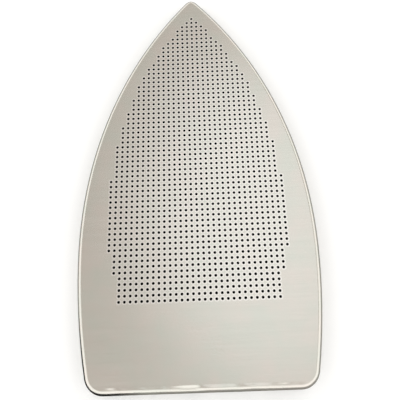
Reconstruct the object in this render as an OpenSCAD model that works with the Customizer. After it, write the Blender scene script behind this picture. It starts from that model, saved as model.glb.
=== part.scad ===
// Shoe for the sole of a steam iron: one shallow pan pressed from sheet metal.
// It lies with its sole up and its open side down, the tip towards +Y, and stands on the edge of its rim.
// The origin is in the middle of the outline, at the level of that edge.

/* [Pan] */
// Length from the heel edge to the tip
overall_l = 233; // [200:1:260]
// Width at the widest line
overall_w = 130; // [112:1:150]
// Height from the edge of the rim to the face of the sole
overall_h = 11; // [7:0.5:20]
// Thickness of the pressed sheet
sheet = 0.8; // [0.5:0.1:1.1]
// Outside radius of the bend between the sole and the rim
bend_r = 2.5; // [1.5:0.1:3.5]

/* [Outline] */
// From the heel edge forward to the widest line
tail_l = 71.3; // [50:0.1:95]
// How far each side comes in between the widest line and the heel edge
tail_in = 8; // [3:0.5:14]
// Radius of the two heel corners
corner_r = 10; // [5:0.5:20]
// Radius of the tip
tip_r = 4.5; // [4:0.5:12]

/* [Steam holes] */
// Spacing of the holes, the same along and across
pitch = 3; // [2.6:0.1:6]
// Diameter of a hole
hole_d = 1.2; // [0.8:0.1:2]
// Plain border beside the field of holes, at the widest part of the field
side_blank = 16.4; // [8:0.2:30]
// From the tip back to where the two curved flanks of the field would meet
nose_blank = 12.7; // [8:0.1:30]
// From the heel edge forward to the last row of holes
heel_blank = 44.3; // [12:0.1:60]
// From the last row forward to the widest part of the field
field_run = 52.5; // [30:0.5:70]
// Width of the field at its last row
field_heel_w = 84.2; // [50:0.2:96]
// Slope of the straight flanks that close the field towards its last row, in degrees
field_taper = 13.5; // [0:0.5:40]

/* [Hidden] */
$fn = 64;
sheet_colour = "#bfbab1";
half_w = overall_w / 2;
tip_y = overall_l / 2;
heel_y = -overall_l / 2;
widest_y = heel_y + tail_l;

// The side is two arcs that meet at the widest line, where both run straight along Y.
// Angle that the front arc turns through before the tip arc takes over
nose_a = even_angle(2 * atan((half_w - tip_r) / (tip_y - tip_r - widest_y)));
front_r = tip_r + (half_w - tip_r) / (1 - cos(nose_a));
// Angle that the rear arc turns through before the corner arc takes over
free_rear_r = (tail_l * tail_l + tail_in * tail_in) / (2 * tail_in);
tail_a = even_angle(asin((tail_l - corner_r) / (free_rear_r - corner_r)));
rear_r = corner_r + (tail_l - corner_r) / sin(tail_a);

front_c = [half_w - front_r, widest_y];
rear_c = [half_w - rear_r, widest_y];
tip_c = [0, widest_y + (front_r - tip_r) * sin(nose_a)];
corner_c = [rear_c[0] + (rear_r - corner_r) * cos(tail_a), heel_y + corner_r];

// The outline as arcs, anticlockwise from the right heel corner: centre, radius, first angle, turn
outline = [
    [corner_c, corner_r, -90, 90 - tail_a],
    [rear_c, rear_r, -tail_a, tail_a],
    [front_c, front_r, 0, nose_a],
    [tip_c, tip_r, nose_a, 180 - 2 * nose_a],
    [mirrored(front_c), front_r, 180 - nose_a, nose_a],
    [mirrored(rear_c), rear_r, 180, tail_a],
    [mirrored(corner_c), corner_r, 180 + tail_a, 90 - tail_a]
];

// Width of the flat strip that is pressed with each length of bend, and that the sole's plate laps
lap = 0.8 * (min(tip_r, corner_r) - bend_r);
// Straight steps along each arc of the plate's hidden lap line
lap_steps = 24;
// How far a cutter reaches past the face that it cuts
overcut = 1;

// The field of holes: a front flank on an arc, a straight middle, and a straight taper to the last row
last_row_y = heel_y + heel_blank;
field_widest_y = last_row_y + field_run;
field_half_w = half_w - side_blank;
field_nose_l = tip_y - nose_blank - field_widest_y;
field_r = (field_nose_l * field_nose_l + field_half_w * field_half_w) / (2 * field_half_w);
field_rows = floor((field_run + field_nose_l) / pitch);

// An angle in whole thousandths of a degree, so that neighbouring arcs share one exact end
function even_angle(a) = round(a * 1000) / 1000;
function mirrored(p) = [-p[0], p[1]];
function on_arc(c, r, a) = [c[0] + r * cos(a), c[1] + r * sin(a)];

// Half the width of the field of holes at a distance y along the pan
function front_flank(d) = field_half_w - field_r + sqrt(max(0, field_r * field_r - d * d));
function heel_flank(y) = field_heel_w / 2 + (y - last_row_y) * tan(field_taper);
function field_half(y) = min(front_flank(max(0, y - field_widest_y)), heel_flank(y));

// Corner points of the plate: the outline's arcs, drawn in until they lie in the middle of the lap
lap_line = [
    for (arc = outline)
        for (i = [0 : lap_steps])
            on_arc(arc[0], arc[1] - bend_r - lap / 2, arc[2] + arc[3] * i / lap_steps)
];

// Moves by whole units, then by thousandths, then by the rest, so that no decimal is lost on the way
module shift(x, y) {
    whole = [floor(x), floor(y), 0];
    fine = [floor((x - whole[0]) * 1000), floor((y - whole[1]) * 1000), 0] / 1000;
    translate(whole)
        translate(fine)
            translate([x, y, 0] - whole - fine)
                children();
}

// Section of the pressed edge: rim, bend and the first strip of the sole, outward along x, upward along y
module edge_section(r) {
    shift(r - bend_r, overall_h - bend_r) {
        intersection() {
            difference() {
                circle(r = bend_r);
                circle(r = bend_r - sheet);
            }
            square(2 * bend_r);
        }
        translate([bend_r - sheet, bend_r - overall_h])
            square([sheet, overall_h - bend_r]);
        translate([-lap, bend_r - sheet])
            square([lap, sheet]);
    }
}

// The pressed edge along one arc of the outline
module edge_arc(arc) {
    shift(arc[0][0], arc[0][1])
        rotate_extrude(start = arc[2], angle = arc[3])
            edge_section(arc[1]);
}

// The straight pressed edge at the heel, from one corner to just past the middle
module heel_edge() {
    shift(corner_c[0], corner_c[1])
        rotate([90, 0, -90])
            linear_extrude(height = ceil(corner_c[0]))
                edge_section(corner_r);
}

module sole_plate() {
    translate([0, 0, overall_h - sheet])
        linear_extrude(height = sheet)
            polygon(lap_line);
}

// One row of holes is as wide as the field is there, and always has a hole on the centre line
module steam_holes() {
    for (row = [0 : field_rows]) {
        y = last_row_y + row * pitch;
        half = floor(field_half(y) / pitch);
        for (column = [-half : 1 : half])
            translate([column * pitch, y])
                circle(d = hole_d, $fn = 24);
    }
}

module shoe_pan() {
    color(sheet_colour)
        difference() {
            union() {
                for (arc = outline)
                    edge_arc(arc);
                heel_edge();
                mirror([1, 0, 0])
                    heel_edge();
                sole_plate();
            }
            translate([0, 0, overall_h - sheet - overcut])
                linear_extrude(height = sheet + 2 * overcut)
                    steam_holes();
        }
}

shoe_pan();
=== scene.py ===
import math

import bpy
import numpy as np
from bpy.props import FloatProperty, FloatVectorProperty, PointerProperty
from bpy.types import Operator, Panel, PropertyGroup
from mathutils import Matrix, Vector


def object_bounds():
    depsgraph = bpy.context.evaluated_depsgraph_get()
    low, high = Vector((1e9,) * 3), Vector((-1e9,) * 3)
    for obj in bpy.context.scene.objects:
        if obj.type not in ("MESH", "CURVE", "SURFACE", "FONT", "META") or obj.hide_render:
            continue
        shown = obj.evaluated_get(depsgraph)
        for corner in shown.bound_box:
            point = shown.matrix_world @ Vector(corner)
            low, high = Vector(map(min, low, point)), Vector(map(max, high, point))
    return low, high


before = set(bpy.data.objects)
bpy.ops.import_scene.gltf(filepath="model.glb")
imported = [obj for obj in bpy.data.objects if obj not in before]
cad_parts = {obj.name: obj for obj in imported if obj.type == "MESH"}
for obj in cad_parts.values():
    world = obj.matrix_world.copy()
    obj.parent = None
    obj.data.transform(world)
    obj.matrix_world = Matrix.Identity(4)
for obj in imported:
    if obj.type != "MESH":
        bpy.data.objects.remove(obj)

bl_info = {
    "name": "Iron shoe",
    "version": (1, 0, 0),
    "blender": (4, 5, 0),
    "location": "3D View > Sidebar > Iron Shoe",
    "description": "Finish, studio and camera for the pressed shoe of a steam iron",
    "category": "Object",
}

CAD_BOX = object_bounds()
MM = 0.001
PHOTO_SIDE = 400


def linear(hex_colour):
    """An sRGB hex colour such as 0xC8C4BB as the three linear values that Blender works in."""
    parts = [(hex_colour >> shift & 255) / 255 for shift in (16, 8, 0)]
    return tuple(p / 12.92 if p <= 0.04045 else ((p + 0.055) / 1.055) ** 2.4 for p in parts)


def add_node(tree, kind, inputs=None, **settings):
    """Adds a node with its settings. An input takes a number, a colour, a socket, or a node's first live output."""
    node = tree.nodes.new(kind)
    for name, value in settings.items():
        setattr(node, name, value)
    for name, value in (inputs or {}).items():
        if isinstance(value, bpy.types.Node):
            value = next(socket for socket in value.outputs if socket.enabled)
        if isinstance(value, bpy.types.NodeSocket):
            tree.links.new(value, node.inputs[name])
        else:
            node.inputs[name].default_value = value
    return node


def blank_material(name):
    """A new node material, its tree and its output node."""
    material = bpy.data.materials.new(name)
    material.use_nodes = True
    material.node_tree.nodes.clear()
    return material, material.node_tree, add_node(material.node_tree, "ShaderNodeOutputMaterial")


class ShoeFinish(PropertyGroup):
    """The sheet's colours and surface, and where its holes are."""

    metal: FloatVectorProperty(
        name="Metal", description="Colour of the frosted aluminium sheet", subtype="COLOR",
        min=0, max=1, default=linear(0xDED8CF))
    cool_patch: FloatVectorProperty(
        name="Cool patches", description="Colour of the faint cooler patches in the sheet", subtype="COLOR",
        min=0, max=1, default=linear(0xD8D8CE))
    # Painted highlight: the bright colour of a ring round each hole
    painted_highlight: FloatVectorProperty(
        name="Burnished", description="Colour of the metal that ironing has rubbed bright between the holes",
        subtype="COLOR", min=0, max=1, default=linear(0xF4F1EA))
    # Painted shade: the dark colour in each punched hole and on its turned-in edge
    painted_shade: FloatVectorProperty(
        name="Stain", description="Colour of the tarnish in each punched hole and on its turned-in edge",
        subtype="COLOR", min=0, max=1, default=linear(0x0C0B0A))
    roughness: FloatProperty(
        name="Roughness", description="How far the frosted sheet blurs what it reflects",
        min=0.05, max=1, default=0.25)
    pitch: FloatProperty(
        name="Hole spacing", description="Spacing of the steam holes", subtype="DISTANCE",
        min=2.6 * MM, max=6 * MM, default=3 * MM)
    # Width across the painted shade: the hole and its turned-in edge
    shade_width: FloatProperty(
        name="Stained width", description="Width across a hole's turned-in, tarnished edge", subtype="DISTANCE",
        min=0.8 * MM, max=2 * MM, default=1.54 * MM)
    # Width across the painted highlight ring round each hole
    highlight_width: FloatProperty(
        name="Rubbed width", description="Width across the bright ring round each hole", subtype="DISTANCE",
        min=1.2 * MM, max=5 * MM, default=3.8 * MM)
    side_blank: FloatProperty(
        name="Side border", description="Plain border beside the widest part of the field of holes",
        subtype="DISTANCE", min=8 * MM, max=30 * MM, default=16.4 * MM)
    nose_blank: FloatProperty(
        name="Nose border", description="From the tip back to where the field's curved flanks would meet",
        subtype="DISTANCE", min=8 * MM, max=30 * MM, default=12.7 * MM)
    heel_blank: FloatProperty(
        name="Heel border", description="From the heel edge to the last row of holes",
        subtype="DISTANCE", min=12 * MM, max=60 * MM, default=44.3 * MM)
    field_run: FloatProperty(
        name="Field run", description="From the last row to the widest part of the field",
        subtype="DISTANCE", min=30 * MM, max=70 * MM, default=52.5 * MM)
    field_heel_width: FloatProperty(
        name="Field heel width", description="Width of the field at its last row",
        subtype="DISTANCE", min=50 * MM, max=96 * MM, default=84.2 * MM)
    field_taper: FloatProperty(
        name="Field taper", description="Slope of the straight flanks near the last row", subtype="ANGLE",
        min=0, max=math.radians(40), default=math.radians(13.5))
    ripple: FloatProperty(
        name="Heel ripple", description="How far the heel's bend leans in and out as it runs across",
        subtype="ANGLE", min=0, max=math.radians(30), default=math.radians(9))


class ShoeStudio(PropertyGroup):
    """Where the camera stands, the floor paper, the sheet of painted shade under the shoe, the card of painted
    reflection round it, and the light of the studio.
    """

    camera_place: FloatVectorProperty(
        name="Camera place", description="Where the camera stands, from the middle of the shoe's base",
        subtype="TRANSLATION", default=(8.15 * MM, -97.02 * MM, 279.72 * MM))
    camera_turn: FloatVectorProperty(
        name="Camera turn", description="The camera's tilt, roll and turn", subtype="EULER",
        default=(math.radians(20.68), math.radians(1.46), math.radians(-1.89)))
    focal_length: FloatProperty(
        name="Focal length", description="Focal length on a 36 mm wide sensor, in millimetres",
        min=20, max=120, default=45.2)
    aim_x: FloatProperty(
        name="Aim across", description="Photograph's column that the lens points at, in pixels",
        min=0, max=PHOTO_SIDE, default=203.5)
    aim_y: FloatProperty(
        name="Aim down", description="Photograph's row that the lens points at, in pixels",
        min=0, max=PHOTO_SIDE, default=160.5)
    tail: FloatProperty(
        name="Tail", description="From the heel edge forward to the shoe's widest line", subtype="DISTANCE",
        min=50 * MM, max=95 * MM, default=71.3 * MM)
    tail_taper: FloatProperty(
        name="Tail taper", description="How far each side comes in from there to the heel", subtype="DISTANCE",
        min=3 * MM, max=14 * MM, default=8 * MM)
    floor: FloatVectorProperty(
        name="Floor", description="Colour of the pale floor", subtype="COLOR", min=0, max=1,
        default=linear(0xFEFEFD))
    # Painted shade: a black sheet laid under the shoe, inside its outline, that shows dark through the holes
    shade_sheet: FloatVectorProperty(
        name="Felt", description="Colour of the black felt under the shoe", subtype="COLOR", min=0, max=1,
        default=linear(0x0A0A0A))
    shade_sheet_margin: FloatProperty(
        name="Felt margin", description="From the shoe's outline in to the edge of the felt under it",
        subtype="DISTANCE", min=1 * MM, max=8 * MM, default=2.5 * MM)
    shade_sheet_rise: FloatProperty(
        name="Felt rise", description="Height of the felt above the floor", subtype="DISTANCE",
        min=0.1 * MM, max=2 * MM, default=0.3 * MM)
    # The card shows only in the metal's reflections, so its colours are painted reflection: dark round the heel's
    # left corner
    card_dark_reflection: FloatVectorProperty(
        name="Card at the corner", description="Colour of the card round the heel's left corner",
        subtype="COLOR", min=0, max=1, default=linear(0x080808))
    # Painted reflection: the grey of the card along the sides, the heel and the nose
    card_pale_reflection: FloatVectorProperty(
        name="Card elsewhere", description="Colour of the card along the sides, the heel and the nose",
        subtype="COLOR", min=0, max=1, default=linear(0xA6A6A4))
    corner_reach: FloatProperty(
        name="Corner reach", description="How far the card's dark corner reaches along the heel and the side",
        subtype="DISTANCE", min=5 * MM, max=60 * MM, default=22 * MM)
    card_gap: FloatProperty(
        name="Card gap", description="Gap between the shoe and the card round it", subtype="DISTANCE",
        min=0, max=50 * MM, default=1 * MM)
    card_width: FloatProperty(
        name="Card width", description="Width of the card", subtype="DISTANCE",
        min=10 * MM, max=400 * MM, default=90 * MM)
    card_rise: FloatProperty(
        name="Card rise", description="Slope of the card away from the shoe", subtype="ANGLE",
        min=0, max=math.radians(60), default=math.radians(13))
    walls: FloatProperty(
        name="Walls", description="Brightness of the white walls all round", min=0, max=4, default=1.0)
    cove: FloatProperty(
        name="Cove", description="Brightness of the bright cove between the walls and the ceiling",
        min=0, max=4, default=1.34)
    ceiling: FloatVectorProperty(
        name="Ceiling", description="Colour of the dimmer, warmer ceiling", subtype="COLOR",
        min=0, max=1, default=linear(0xC7C1BC))
    ceiling_half: FloatProperty(
        name="Ceiling's reach", description="From the middle of the ceiling to its edge, seen from the shoe",
        subtype="ANGLE", min=0, max=math.radians(80), default=math.radians(33))
    ceiling_lean: FloatProperty(
        name="Ceiling's lean", description="How far the middle of the ceiling is from overhead, towards +Y",
        subtype="ANGLE", min=0, max=math.radians(60), default=math.radians(17))
    panel: FloatVectorProperty(
        name="Panel", description="Colour of the bright oval panel in the ceiling", subtype="COLOR",
        min=0, max=1.5, default=(1.09, 1.10, 1.11))
    panel_place: FloatVectorProperty(
        name="Panel's place", description="Where the panel's middle is, in heights above the shoe", size=2,
        default=(0.12, 0.27))
    panel_reach: FloatVectorProperty(
        name="Panel's reach", description="Half the panel's width and length, in heights above the shoe", size=2,
        default=(0.26, 0.37))


def nearest_hole(tree, finish):
    """Distance in millimetres to the nearest hole's centre, and 1 where that place does hold a hole.

    The holes lie on a square grid, so the nearest grid place comes from rounding. It holds a hole where its
    distance from the centre line is at most half the field's width there, which is the smaller of a front flank
    on an arc and a straight flank that tapers to the last row.
    """
    low, high = CAD_BOX
    pitch = finish.pitch / MM
    last_row = (low.y + finish.heel_blank) / MM
    half = (high.x - finish.side_blank) / MM
    run = finish.field_run / MM
    nose = (high.y - finish.nose_blank) / MM - last_row - run
    radius = (nose * nose + half * half) / (2 * half)

    place = add_node(tree, "ShaderNodeTexCoord").outputs["Object"]
    in_mm = add_node(tree, "ShaderNodeVectorMath", {0: place, 1: (1 / MM, 1 / MM, 0)}, operation="MULTIPLY")
    from_row = add_node(tree, "ShaderNodeVectorMath", {0: in_mm, 1: (0, last_row, 0)}, operation="SUBTRACT")
    nearest = add_node(tree, "ShaderNodeVectorMath",
                       {0: add_node(tree, "ShaderNodeVectorMath", {0: from_row, 1: (pitch / 2, pitch / 2, 0)},
                                    operation="ADD"),
                        1: (pitch, pitch, 1)}, operation="SNAP")
    distance = add_node(tree, "ShaderNodeVectorMath", {0: from_row, 1: nearest}, operation="DISTANCE")

    split = add_node(tree, "ShaderNodeSeparateXYZ", {0: nearest})
    column = add_node(tree, "ShaderNodeMath", {0: split.outputs["X"]}, operation="ABSOLUTE")
    row = split.outputs["Y"]
    past_run = add_node(tree, "ShaderNodeMath",
                        {0: add_node(tree, "ShaderNodeMath", {0: row, 1: run}, operation="SUBTRACT"), 1: 0},
                        operation="MAXIMUM")
    square = add_node(tree, "ShaderNodeMath", {0: past_run, 1: past_run}, operation="MULTIPLY")
    left = add_node(tree, "ShaderNodeMath", {0: radius * radius, 1: square}, operation="SUBTRACT")
    chord = add_node(tree, "ShaderNodeMath",
                     {0: add_node(tree, "ShaderNodeMath", {0: left, 1: 0}, operation="MAXIMUM")}, operation="SQRT")
    front_flank = add_node(tree, "ShaderNodeMath", {0: chord, 1: half - radius}, operation="ADD")
    heel_flank = add_node(tree, "ShaderNodeMath",
                          {0: row, 1: math.tan(finish.field_taper), 2: finish.field_heel_width / 2 / MM},
                          operation="MULTIPLY_ADD")
    half_here = add_node(tree, "ShaderNodeMath", {0: front_flank, 1: heel_flank}, operation="MINIMUM")
    inside = add_node(tree, "ShaderNodeMath", {0: half_here, 1: column}, operation="GREATER_THAN")
    in_rows = add_node(tree, "ShaderNodeMath", {0: row, 1: -pitch / 2}, operation="GREATER_THAN")
    hole = add_node(tree, "ShaderNodeMath", {0: inside, 1: in_rows}, operation="MULTIPLY")
    return distance.outputs["Value"], hole


def frosted_aluminium(finish):
    """Frosted aluminium: sheet rolled, pressed and blasted fine, then rubbed by cloth.

    The blasting gives the eye a soft even sheen, the rolling faint cool and warm patches, the rubbing faint wiping
    marks. A painted highlight rings each hole, and painted shade darkens each hole and its turned-in edge.
    """
    material, tree, output = blank_material("frosted_aluminium")
    place = add_node(tree, "ShaderNodeTexCoord").outputs["Object"]
    patches = add_node(tree, "ShaderNodeTexNoise",
                       {"Vector": place, "Scale": 1 / (16 * MM), "Detail": 3.0, "Roughness": 0.55})
    grain = add_node(tree, "ShaderNodeTexNoise",
                     {"Vector": place, "Scale": 1 / (0.9 * MM), "Detail": 2.0, "Roughness": 0.6})
    # Wiping marks: the real ones are finer than a tenth of a millimetre, drawn here as coarse as they need to show
    wiped = add_node(tree, "ShaderNodeMapping", {"Vector": place, "Rotation": (0, 0, math.radians(24)),
                                                 "Scale": (1 / (30 * MM), 1 / (0.9 * MM), 1 / (3 * MM))})
    marks = add_node(tree, "ShaderNodeTexNoise", {"Vector": wiped, "Scale": 1.0, "Detail": 1.0})

    distance, hole = nearest_hole(tree, finish)
    shade_edge = finish.shade_width / 2 / MM
    # Painted highlight: a ring round each hole, brightest at the hole's dark edge and fading outward
    ring = add_node(tree, "ShaderNodeMapRange",
                    {"Value": distance, "From Min": finish.highlight_width / 2 / MM, "From Max": shade_edge},
                    interpolation_type="SMOOTHSTEP")
    # Painted shade: dark, rougher metal over each hole and its turned-in edge
    near = add_node(tree, "ShaderNodeMapRange", {"Value": distance, "From Min": shade_edge * 1.04,
                                                 "From Max": shade_edge * 0.96})
    # Masks of the painted highlight ring and of the painted shade, only where a hole is
    rubbed = add_node(tree, "ShaderNodeMath", {0: ring, 1: hole}, operation="MULTIPLY")
    shade_mask = add_node(tree, "ShaderNodeMath", {0: near, 1: hole}, operation="MULTIPLY")

    patchy = add_node(tree, "ShaderNodeMapRange", {"Value": patches, "From Min": 0.35, "From Max": 0.65})
    colour = add_node(tree, "ShaderNodeMix", {0: patchy, 6: (*finish.metal, 1), 7: (*finish.cool_patch, 1)},
                      data_type="RGBA")
    # Painted highlight ring over the sheet's own colour, then painted shade over each hole and its edge
    bright = add_node(tree, "ShaderNodeMix", {0: rubbed, 6: colour, 7: (*finish.painted_highlight, 1)},
                      data_type="RGBA")
    painted_light_colour = add_node(tree, "ShaderNodeMix", {0: shade_mask, 6: bright, 7: (*finish.painted_shade, 1)}, data_type="RGBA")
    smooth = add_node(tree, "ShaderNodeMath", {0: marks, 1: 0.08, 2: finish.roughness - 0.04},
                      operation="MULTIPLY_ADD")
    roughness = add_node(tree, "ShaderNodeMix", {0: shade_mask, 2: smooth, 3: 0.7})

    x, y, z = add_node(tree, "ShaderNodeSeparateXYZ", {0: place}).outputs
    sway = add_node(tree, "ShaderNodeTexNoise", {"W": add_node(tree, "ShaderNodeMath", {0: x, 1: 1 / (17 * MM)},
                                                               operation="MULTIPLY"),
                                                 "Scale": 1.0, "Detail": 1.0}, noise_dimensions="1D")
    lean = add_node(tree, "ShaderNodeMapRange", {"Value": sway, "From Min": 0.3, "From Max": 0.7,
                                                 "To Min": -math.tan(finish.ripple),
                                                 "To Max": math.tan(finish.ripple)})
    heel = CAD_BOX[0].y
    at_heel = add_node(tree, "ShaderNodeMapRange", {"Value": y, "From Min": heel + 4 * MM,
                                                    "From Max": heel + 2 * MM}, interpolation_type="SMOOTHSTEP")
    along = add_node(tree, "ShaderNodeMath", {0: y, 1: z}, operation="SUBTRACT")
    leaning = add_node(tree, "ShaderNodeMath",
                       {0: add_node(tree, "ShaderNodeMath", {0: along, 1: heel - CAD_BOX[1].z},
                                    operation="SUBTRACT"), 1: lean}, operation="MULTIPLY")
    rippled = add_node(tree, "ShaderNodeMath", {0: leaning, 1: at_heel}, operation="MULTIPLY")
    height = add_node(tree, "ShaderNodeMath", {0: grain, 1: 0.012 * MM, 2: rippled}, operation="MULTIPLY_ADD")
    bump = add_node(tree, "ShaderNodeBump", {"Height": height, "Distance": 1.0, "Strength": 1.0})
    shader = add_node(tree, "ShaderNodeBsdfPrincipled",
                      {"Base Color": painted_light_colour, "Metallic": 1.0, "Roughness": roughness, "Normal": bump})
    tree.links.new(shader.outputs[0], output.inputs["Surface"])
    return material


class OBJECT_OT_shoe_pan(Operator):
    """Gives the pressed pan its frosted aluminium finish."""

    bl_idname = "object.shoe_pan"
    bl_label = "Finish the pan"

    def execute(self, context):
        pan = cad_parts["shoe_pan"]
        pan.data.materials.clear()
        pan.data.materials.append(frosted_aluminium(context.scene.shoe_finish))
        return {"FINISHED"}


def put_sheet(name, points):
    """A sheet over a grid of points. It faces up where rows x columns do: outward rows, anticlockwise columns."""
    rows, columns = points.shape[:2]
    corner = (np.arange(rows - 1)[:, None] * columns + np.arange(columns - 1)).reshape(-1, 1)
    mesh = bpy.data.meshes.new(name)
    mesh.from_pydata(points.reshape(-1, 3).tolist(), [], (corner + [0, columns, columns + 1, 1]).tolist())
    thing = bpy.data.objects.new(name, mesh)
    bpy.context.scene.collection.objects.link(thing)
    return thing


def beside_outline(studio, offsets, heights):
    """Grid of points round the shoe: each row is the outline moved out by an offset and up to a height.

    The outline is four side arcs, two to a side, whose radii follow from the chord that each spans, and it is
    walked anticlockwise from the heel's right corner: centre + (radius + offset) x (cos a, sin a).
    """
    low, high = CAD_BOX
    half, widest = high.x, low.y + studio.tail
    nose = high.y - widest
    front = (nose ** 2 + half ** 2) / (2 * half)
    rear = (studio.tail ** 2 + studio.tail_taper ** 2) / (2 * studio.tail_taper)
    back = np.linspace(-math.asin(studio.tail / rear), 0, 20)
    fore = np.linspace(0, math.asin(nose / front), 40)
    angle = np.concatenate([back, fore])
    radius = np.concatenate([np.full(20, rear), np.full(40, front)])
    right = np.stack([half - radius + (radius + np.array(offsets)[:, None]) * np.cos(angle),
                      widest + (radius + np.array(offsets)[:, None]) * np.sin(angle)], axis=-1)
    left = right[:, ::-1] * (-1, 1)
    loop = np.concatenate([right, left, right[:, :1]], axis=1)
    up = np.broadcast_to(np.array(heights)[:, None, None], (*loop.shape[:2], 1))
    return np.concatenate([loop, up], axis=-1)


def stage_cloth(name, colour, pale=None, reach=0.0):
    """Matt paper, or a black sheet of painted shade, that shows only from above, so that a view from below sees
    the shoe's underside.

    With a pale colour it is that colour away from the heel's left corner, beyond a reach along either edge; the
    card uses this, and its dark corner and paler rest are painted reflection.
    """
    material, tree, output = blank_material(name)
    matt = add_node(tree, "ShaderNodeBsdfDiffuse", {"Color": (*colour, 1)})
    if pale:
        place = add_node(tree, "ShaderNodeTexCoord").outputs["Object"]
        x, y, z = add_node(tree, "ShaderNodeSeparateXYZ", {0: place}).outputs
        left, heel = CAD_BOX[0].x, CAD_BOX[0].y
        inward = add_node(tree, "ShaderNodeMapRange", {"Value": x, "From Min": left + reach,
                                                       "From Max": left + 1.6 * reach})
        forward = add_node(tree, "ShaderNodeMapRange", {"Value": y, "From Min": heel + 0.5 * reach,
                                                        "From Max": heel + 2 * reach})
        away = add_node(tree, "ShaderNodeMath", {0: inward, 1: forward}, operation="MAXIMUM")
        tint = add_node(tree, "ShaderNodeMix", {0: away, 6: (*colour, 1), 7: (*pale, 1)}, data_type="RGBA")
        tree.links.new(tint.outputs[2], matt.inputs["Color"])
    clear = add_node(tree, "ShaderNodeBsdfTransparent")
    below = add_node(tree, "ShaderNodeNewGeometry").outputs["Backfacing"]
    sheet = add_node(tree, "ShaderNodeMixShader", {0: below, 1: matt, 2: clear})
    tree.links.new(sheet.outputs[0], output.inputs["Surface"])
    return material


def studio_light(studio):
    """A white room: walls, a brighter cove above them, and a dimmer ceiling with a bright oval panel in it."""
    world = bpy.data.worlds.new("studio")
    world.use_nodes = True
    tree = world.node_tree
    tree.nodes.clear()
    way = add_node(tree, "ShaderNodeTexCoord").outputs["Generated"]
    up = add_node(tree, "ShaderNodeSeparateXYZ", {0: way}).outputs["Z"]
    cove = add_node(tree, "ShaderNodeMapRange", {"Value": up, "From Min": 0.2, "From Max": 0.4,
                                                 "To Min": studio.walls, "To Max": studio.cove},
                    interpolation_type="SMOOTHSTEP")
    lean, half, soft = studio.ceiling_lean, studio.ceiling_half, math.radians(4)
    middle = add_node(tree, "ShaderNodeVectorMath", {0: way, 1: (0, math.sin(lean), math.cos(lean))},
                      operation="DOT_PRODUCT")
    overhead = add_node(tree, "ShaderNodeMapRange",
                        {"Value": middle.outputs["Value"], "From Min": math.cos(half + soft),
                         "From Max": math.cos(half - soft)}, interpolation_type="SMOOTHSTEP")
    flat = add_node(tree, "ShaderNodeVectorMath",
                    {0: way, "Scale": add_node(tree, "ShaderNodeMath", {0: 1.0, 1: up}, operation="DIVIDE")},
                    operation="SCALE")
    (across, along), (width, length) = studio.panel_place, studio.panel_reach
    oval = add_node(tree, "ShaderNodeMapping", {"Vector": flat, "Scale": (1 / width, 1 / length, 0),
                                                "Location": (-across / width, -along / length, 0)})
    outward = add_node(tree, "ShaderNodeVectorMath", {0: oval}, operation="LENGTH").outputs["Value"]
    lit = add_node(tree, "ShaderNodeMapRange", {"Value": outward, "From Min": 1.15, "From Max": 0.85},
                   interpolation_type="SMOOTHSTEP")
    ceiling = add_node(tree, "ShaderNodeMix", {0: lit, 6: (*studio.ceiling, 1), 7: (*studio.panel, 1)},
                       data_type="RGBA", clamp_factor=True)
    room = add_node(tree, "ShaderNodeMix", {0: overhead, 6: cove, 7: ceiling}, data_type="RGBA")
    shine = add_node(tree, "ShaderNodeBackground", {"Color": room, "Strength": 1.0})
    add_node(tree, "ShaderNodeOutputWorld", {"Surface": shine})
    return world


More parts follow.
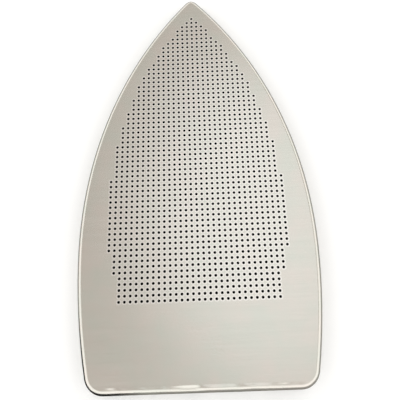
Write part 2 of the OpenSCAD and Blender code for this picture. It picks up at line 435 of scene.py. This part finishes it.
class OBJECT_OT_shoe_stage(Operator):
    """Lays the floor, the sheet of painted shade under the shoe and the card of painted reflection round it, and
    sets the room's light and the camera.
    """

    bl_idname = "object.shoe_stage"
    bl_label = "Set the stage"

    def execute(self, context):
        scene, studio = context.scene, context.scene.shoe_studio
        x, y = np.meshgrid((-3.0, 3.0), (-3.0, 3.0), indexing="ij")
        floor = put_sheet("floor", np.stack([x, y, np.zeros_like(x)], axis=-1))
        floor.data.materials.append(stage_cloth("floor_paper", studio.floor))

        # A black sheet of painted shade under the pan, inside its outline, seen through its holes
        under = beside_outline(studio, [-studio.shade_sheet_margin] * 2, [studio.shade_sheet_rise] * 2)
        under[0, :, :2] = 0
        shade_sheet = put_sheet("shade_sheet", under)
        shade_sheet.data.materials.append(stage_cloth("black_shade_sheet", studio.shade_sheet))
        # The metal mirrors the white room in place of both, so the inside of the pan is bright from below
        floor.visible_glossy = shade_sheet.visible_glossy = False

        # A card round the shoe that shows only in the metal's reflections: painted dark reflection along the bend,
        # black at the heel's left corner and grey elsewhere
        reach = np.linspace(0, studio.card_width, 4)
        card = put_sheet("card", beside_outline(studio, studio.card_gap + reach,
                                                studio.shade_sheet_rise + reach * math.tan(studio.card_rise)))
        card.data.materials.append(stage_cloth("card", studio.card_dark_reflection, studio.card_pale_reflection, studio.corner_reach))
        card.visible_camera = card.visible_diffuse = card.visible_shadow = False
        scene.world = studio_light(studio)

        lens = bpy.data.cameras.new("camera")
        lens.sensor_width = 36
        lens.lens = studio.focal_length
        lens.shift_x = (PHOTO_SIDE / 2 - studio.aim_x) / PHOTO_SIDE
        lens.shift_y = (studio.aim_y - PHOTO_SIDE / 2) / PHOTO_SIDE
        lens.clip_start, lens.clip_end = 0.01, 20
        camera = bpy.data.objects.new("camera", lens)
        scene.collection.objects.link(camera)
        camera.rotation_euler = studio.camera_turn
        camera.location = studio.camera_place
        scene.camera = camera
        scene.view_settings.view_transform = "Standard"
        return {"FINISHED"}


class VIEW3D_PT_iron_shoe(Panel):
    """Lists the steps and their values in the sidebar."""

    bl_label = "Iron Shoe"
    bl_space_type = "VIEW_3D"
    bl_region_type = "UI"
    bl_category = "Iron Shoe"

    def draw(self, context):
        for step, values in ((OBJECT_OT_shoe_pan, context.scene.shoe_finish),
                             (OBJECT_OT_shoe_stage, context.scene.shoe_studio)):
            box = self.layout.box()
            box.operator(step.bl_idname)
            for name in values.__annotations__:
                box.prop(values, name)


CLASSES = (ShoeFinish, ShoeStudio, OBJECT_OT_shoe_pan, OBJECT_OT_shoe_stage, VIEW3D_PT_iron_shoe)


def register():
    for each in CLASSES:
        bpy.utils.register_class(each)
    bpy.types.Scene.shoe_finish = PointerProperty(type=ShoeFinish)
    bpy.types.Scene.shoe_studio = PointerProperty(type=ShoeStudio)


def unregister():
    del bpy.types.Scene.shoe_studio
    del bpy.types.Scene.shoe_finish
    for each in reversed(CLASSES):
        bpy.utils.unregister_class(each)


def main():
    register()
    bpy.ops.object.shoe_pan()
    bpy.ops.object.shoe_stage()


if __name__ == "__main__":
    main()
